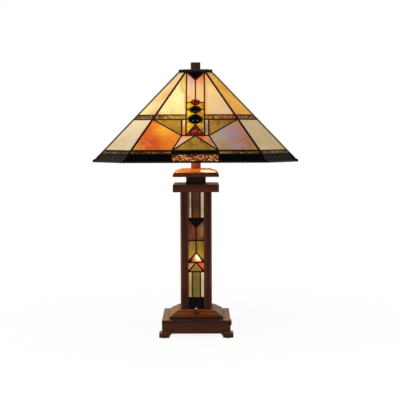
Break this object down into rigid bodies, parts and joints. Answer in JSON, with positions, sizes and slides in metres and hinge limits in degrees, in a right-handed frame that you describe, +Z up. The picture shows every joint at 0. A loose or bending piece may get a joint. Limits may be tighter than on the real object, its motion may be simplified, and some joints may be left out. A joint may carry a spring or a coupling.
{
  "type": "stained glass table lamp",
  "caption": "Table lamp with an octagonal leaded glass shade, a square wooden column with lit glass windows and a stepped wooden base with a rotary switch.",
  "frame": {"origin": "on the table under the middle of the lamp", "axes": "+Z up along the column, front (switch side) towards -Y, cord inlet towards +Y, +X to the right seen from the front"},
  "size_m": [0.4364, 0.4364, 0.6091],
  "materials": {
    "came": "dark bronze patina",
    "solder": "patinated solder bead",
    "cap_metal": "dark green-black patina",
    "glass_cream": "cream opalescent sheet glass",
    "glass_corner_cream": "cream opalescent sheet glass",
    "glass_band": "mottled brown and gold glass",
    "glass_olive": "olive granite glass",
    "glass_orange_slag": "streaky orange slag glass",
    "glass_pink": "pink opalescent glass",
    "glass_gold": "golden hammered glass",
    "glass_red": "red ripple glass",
    "glass_confetti": "confetti glass",
    "glass_black": "black glass",
    "glass_border": "dark brown opaque glass",
    "jewel_red": "cast red jewel",
    "jewel_black": "cast dark jewel",
    "wood_dark": "near-black satin stain",
    "wood_red": "dark red-brown satin stain",
    "wood_orange": "red-brown satin stain",
    "brass": "aged brass",
    "copper": "bare copper tube",
    "bulb": "frosted bulb",
    "socket_white": "glazed white",
    "column_white": "white opalescent glass",
    "column_brown": "brown-mauve slag glass",
    "column_green": "olive green glass",
    "column_amber": "amber glass",
    "column_red": "red glass",
    "column_black": "black glass",
    "hardboard": "bare hardboard",
    "steel": "zinc plated",
    "felt": "green felt",
    "bushing": "black nylon"
  },
  "bodies": {
    "lamp": {"riser_tube": "brass", "lock_nuts": "brass", "shade_seat": "brass", "socket_cluster": "brass", "upper_sockets": "brass", "stem_post": "wood_orange", "capital_slab": "wood_orange", "neck_block": "wood_dark", "abacus_slab": "wood_red", "column_posts": "wood_red", "column_cames": "came", "column_glass_white": "column_white", "column_glass_brown": "column_brown", "column_glass_green": "column_green", "column_glass_amber": "column_amber", "column_glass_red": "column_red", "column_glass_black": "column_black", "wire_conduit": "copper", "night_riser": "brass", "night_socket": "socket_white", "plinth_block": "wood_orange", "box_top": "wood_red", "box_front": "wood_red", "box_right": "wood_red", "box_back": "wood_red", "box_left": "wood_red", "bottom_board": "hardboard", "bottom_screws": "steel", "feet": "wood_red", "felt_pads": "felt", "cord_inlet": "bushing", "switch_body": "steel"},
    "shade": {"shade_cap": "cap_metal", "rim_band": "solder", "fold_seams": "solder", "panel_came_front": "came", "panel_came_right": "came", "panel_came_back": "came", "panel_came_left": "came", "corner_cames": "came", "glass_cream": "glass_cream", "glass_corner_cream": "glass_corner_cream", "glass_band": "glass_band", "glass_olive": "glass_olive", "glass_orange_slag": "glass_orange_slag", "glass_pink": "glass_pink", "glass_gold": "glass_gold", "glass_red": "glass_red", "glass_confetti": "glass_confetti", "glass_black": "glass_black", "glass_border": "glass_border", "jewels_red": "jewel_red", "jewels_black": "jewel_black"},
    "finial": {"finial_block": "wood_dark", "finial_insert": "brass"},
    "bulb_left": {"bulb_left": "bulb"},
    "bulb_right": {"bulb_right": "bulb"},
    "night_bulb": {"night_bulb": "bulb"},
    "knob": {"switch_knob": "brass"}
  },
  "joints": [
    {"name": "shade_lift", "type": "slide", "parent": "lamp", "child": "shade", "axis": [0, 0, 1], "range_m": [0, 0.25]},
    {"name": "finial_turn", "type": "hinge", "parent": "shade", "child": "finial", "pos_m": [0, 0, 0.5921], "axis": [0, 0, 1], "continuous": true},
    {"name": "bulb_left_turn", "type": "hinge", "parent": "lamp", "child": "bulb_left", "pos_m": [0, 0, 0.4345], "axis": [-0.7071, 0, 0.7071], "continuous": true},
    {"name": "bulb_right_turn", "type": "hinge", "parent": "lamp", "child": "bulb_right", "pos_m": [0, 0, 0.4345], "axis": [0.7071, 0, 0.7071], "continuous": true},
    {"name": "night_bulb_turn", "type": "hinge", "parent": "lamp", "child": "night_bulb", "pos_m": [0, 0, 0.15], "axis": [0, 0, 1], "continuous": true},
    {"name": "switch_turn", "type": "hinge", "parent": "lamp", "child": "knob", "pos_m": [0, -0.0502, 0.05025], "axis": [0, -0.5308, 0.8475], "continuous": true}
  ]
}
